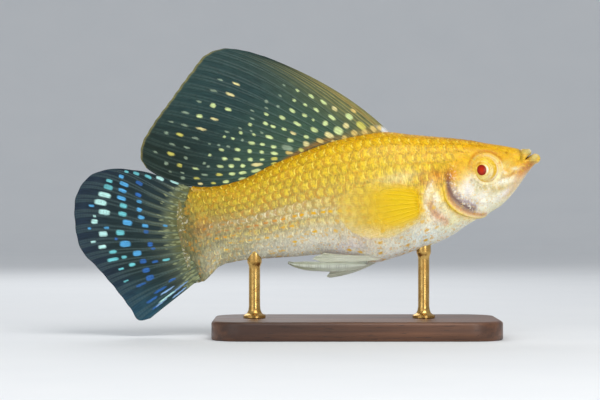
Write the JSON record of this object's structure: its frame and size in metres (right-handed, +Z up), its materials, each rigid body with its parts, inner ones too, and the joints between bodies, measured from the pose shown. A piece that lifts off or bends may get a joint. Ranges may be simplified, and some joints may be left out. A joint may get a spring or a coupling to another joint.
{
  "type": "sailfin molly fish model",
  "caption": "Life-size model of a male giant sailfin molly with its sail raised, a plain display stand under its belly.",
  "frame": {"origin": "centre of the bounding box at the underside of the stand's base", "axes": "+X towards the snout, +Y to the fish's left, +Z up; the fish is pitched twelve degrees nose up"},
  "size_m": [0.1241, 0.042, 0.0768],
  "materials": {
    "skin": "wet golden yellow skin",
    "cheek": "pearly cream plate",
    "eye": "clear and glossy, yellow iris and red pupil",
    "sail_fin": "slate membrane with pale spots",
    "tail_fin": "dusky blue membrane with turquoise spots",
    "pectoral_fin": "translucent yellow membrane",
    "belly_fin": "translucent pale membrane",
    "stand_wood": "dark satin walnut",
    "stand_brass": "satin brass"
  },
  "bodies": {
    "root": {"head": "skin", "gill_cover_right": "cheek", "gill_cover_left": "cheek", "eye_right": "eye", "eye_left": "eye", "trunk": "skin", "tail_stalk": "skin", "dorsal_fin": "sail_fin", "caudal_fin": "tail_fin", "pectoral_fin_right": "pectoral_fin", "pectoral_fin_left": "pectoral_fin", "pelvic_fin_right": "belly_fin", "pelvic_fin_left": "belly_fin", "gonopodium": "belly_fin", "stand_base": "stand_wood", "stand_rod_front": "stand_brass", "stand_rod_rear": "stand_brass"}
  },
  "joints": []
}
